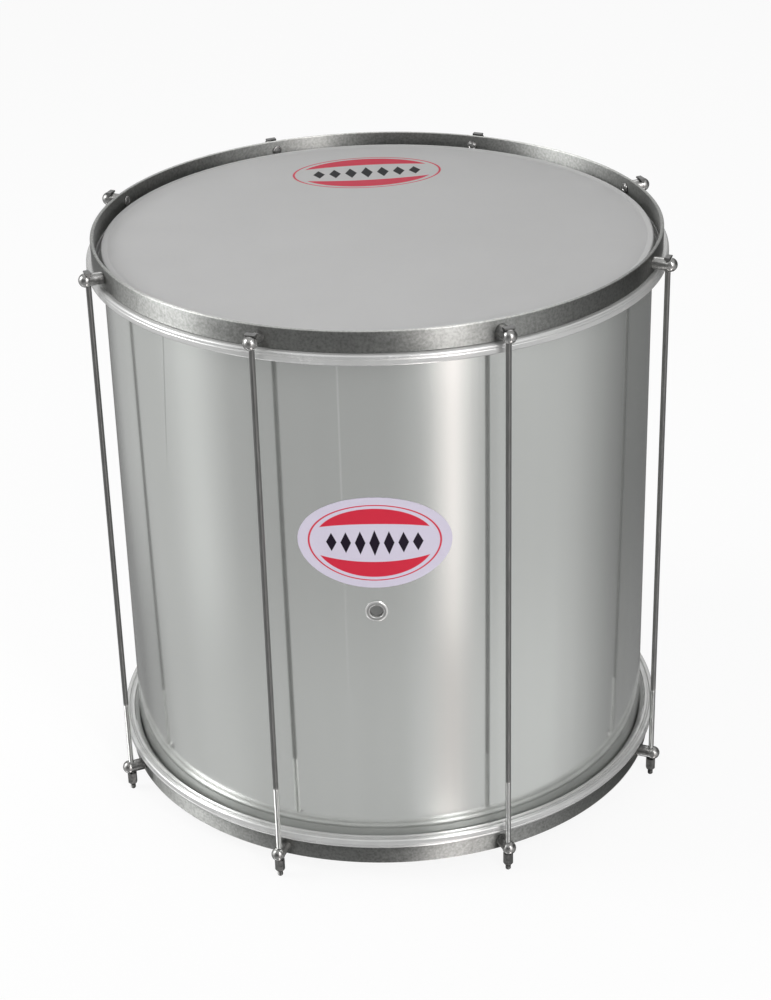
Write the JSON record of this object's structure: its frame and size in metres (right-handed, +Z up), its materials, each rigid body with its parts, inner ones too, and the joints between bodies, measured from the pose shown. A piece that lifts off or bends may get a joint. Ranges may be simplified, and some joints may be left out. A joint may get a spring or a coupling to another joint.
{
  "type": "surdo drum",
  "caption": "Deep double-headed samba drum with a straight aluminium shell, flat steel hoops, ball-ended posts and long tension rods on whose tips it stands.",
  "frame": {"origin": "centre of the drum on the surface it stands on, under the tips of the tension rods", "axes": "+Z up along the drum's axis, -Y towards the front with the label and the vent, +X to the right seen from the front"},
  "size_m": [0.537, 0.537, 0.5475],
  "materials": {
    "shell_aluminium": "satin, drawn lengthways",
    "flesh_hoop_aluminium": "bright satin",
    "zinced_hoop_steel": "dull zinc plate, mottled",
    "post_steel": "turned, plated",
    "rod_steel": "drawn wire, plated",
    "nut_steel": "plated",
    "milky_film": "milky, slightly see-through, soft sheen",
    "label_film": "printed film",
    "eyelet_metal": "polished"
  },
  "bodies": {
    "drum": {"shell": "shell_aluminium", "vent_eyelet": "eyelet_metal", "vent_eyelet_washer": "eyelet_metal", "front_label": "label_film", "batter_film": "milky_film", "batter_flesh_hoop": "flesh_hoop_aluminium", "resonant_film": "milky_film", "resonant_flesh_hoop": "flesh_hoop_aluminium", "top_counterhoop": "zinced_hoop_steel", "bottom_counterhoop": "zinced_hoop_steel", "top_post_1": "post_steel", "top_post_2": "post_steel", "top_post_3": "post_steel", "top_post_4": "post_steel", "top_post_5": "post_steel", "top_post_6": "post_steel", "top_post_7": "post_steel", "top_post_8": "post_steel", "bottom_post_1": "post_steel", "bottom_post_2": "post_steel", "bottom_post_3": "post_steel", "bottom_post_4": "post_steel", "bottom_post_5": "post_steel", "bottom_post_6": "post_steel", "bottom_post_7": "post_steel", "bottom_post_8": "post_steel"},
    "rod_1": {"tension_rod_1": "rod_steel"},
    "nut_1": {"tuning_nut_1": "nut_steel"},
    "rod_2": {"tension_rod_2": "rod_steel"},
    "nut_2": {"tuning_nut_2": "nut_steel"},
    "rod_3": {"tension_rod_3": "rod_steel"},
    "nut_3": {"tuning_nut_3": "nut_steel"},
    "rod_4": {"tension_rod_4": "rod_steel"},
    "nut_4": {"tuning_nut_4": "nut_steel"},
    "rod_5": {"tension_rod_5": "rod_steel"},
    "nut_5": {"tuning_nut_5": "nut_steel"},
    "rod_6": {"tension_rod_6": "rod_steel"},
    "nut_6": {"tuning_nut_6": "nut_steel"},
    "rod_7": {"tension_rod_7": "rod_steel"},
    "nut_7": {"tuning_nut_7": "nut_steel"},
    "rod_8": {"tension_rod_8": "rod_steel"},
    "nut_8": {"tuning_nut_8": "nut_steel"}
  },
  "joints": [
    {"name": "nut_turn_1", "type": "hinge", "parent": "drum", "child": "nut_1", "pos_m": [0.25591, 0.106, 0.01245], "axis": [0, 0, -1], "range_deg": [0, 2700]},
    {"name": "rod_slide_1", "type": "slide", "parent": "drum", "child": "rod_1", "axis": [0, 0, 1], "range_m": [0, 0.006]},
    {"name": "nut_turn_2", "type": "hinge", "parent": "drum", "child": "nut_2", "pos_m": [0.106, 0.25591, 0.01245], "axis": [0, 0, -1], "range_deg": [0, 2700]},
    {"name": "rod_slide_2", "type": "slide", "parent": "drum", "child": "rod_2", "axis": [0, 0, 1], "range_m": [0, 0.006]},
    {"name": "nut_turn_3", "type": "hinge", "parent": "drum", "child": "nut_3", "pos_m": [-0.106, 0.25591, 0.01245], "axis": [0, 0, -1], "range_deg": [0, 2700]},
    {"name": "rod_slide_3", "type": "slide", "parent": "drum", "child": "rod_3", "axis": [0, 0, 1], "range_m": [0, 0.006]},
    {"name": "nut_turn_4", "type": "hinge", "parent": "drum", "child": "nut_4", "pos_m": [-0.25591, 0.106, 0.01245], "axis": [0, 0, -1], "range_deg": [0, 2700]},
    {"name": "rod_slide_4", "type": "slide", "parent": "drum", "child": "rod_4", "axis": [0, 0, 1], "range_m": [0, 0.006]},
    {"name": "nut_turn_5", "type": "hinge", "parent": "drum", "child": "nut_5", "pos_m": [-0.25591, -0.106, 0.01245], "axis": [0, 0, -1], "range_deg": [0, 2700]},
    {"name": "rod_slide_5", "type": "slide", "parent": "drum", "child": "rod_5", "axis": [0, 0, 1], "range_m": [0, 0.006]},
    {"name": "nut_turn_6", "type": "hinge", "parent": "drum", "child": "nut_6", "pos_m": [-0.106, -0.25591, 0.01245], "axis": [0, 0, -1], "range_deg": [0, 2700]},
    {"name": "rod_slide_6", "type": "slide", "parent": "drum", "child": "rod_6", "axis": [0, 0, 1], "range_m": [0, 0.006]},
    {"name": "nut_turn_7", "type": "hinge", "parent": "drum", "child": "nut_7", "pos_m": [0.106, -0.25591, 0.01245], "axis": [0, 0, -1], "range_deg": [0, 2700]},
    {"name": "rod_slide_7", "type": "slide", "parent": "drum", "child": "rod_7", "axis": [0, 0, 1], "range_m": [0, 0.006]},
    {"name": "nut_turn_8", "type": "hinge", "parent": "drum", "child": "nut_8", "pos_m": [0.25591, -0.106, 0.01245], "axis": [0, 0, -1], "range_deg": [0, 2700]},
    {"name": "rod_slide_8", "type": "slide", "parent": "drum", "child": "rod_8", "axis": [0, 0, 1], "range_m": [0, 0.006]}
  ],
  "couplings": [
    {"joint": "nut_turn_1", "follows": "rod_slide_1", "rad_per_m": 7854},
    {"joint": "nut_turn_2", "follows": "rod_slide_2", "rad_per_m": 7854},
    {"joint": "nut_turn_3", "follows": "rod_slide_3", "rad_per_m": 7854},
    {"joint": "nut_turn_4", "follows": "rod_slide_4", "rad_per_m": 7854},
    {"joint": "nut_turn_5", "follows": "rod_slide_5", "rad_per_m": 7854},
    {"joint": "nut_turn_6", "follows": "rod_slide_6", "rad_per_m": 7854},
    {"joint": "nut_turn_7", "follows": "rod_slide_7", "rad_per_m": 7854},
    {"joint": "nut_turn_8", "follows": "rod_slide_8", "rad_per_m": 7854}
  ]
}
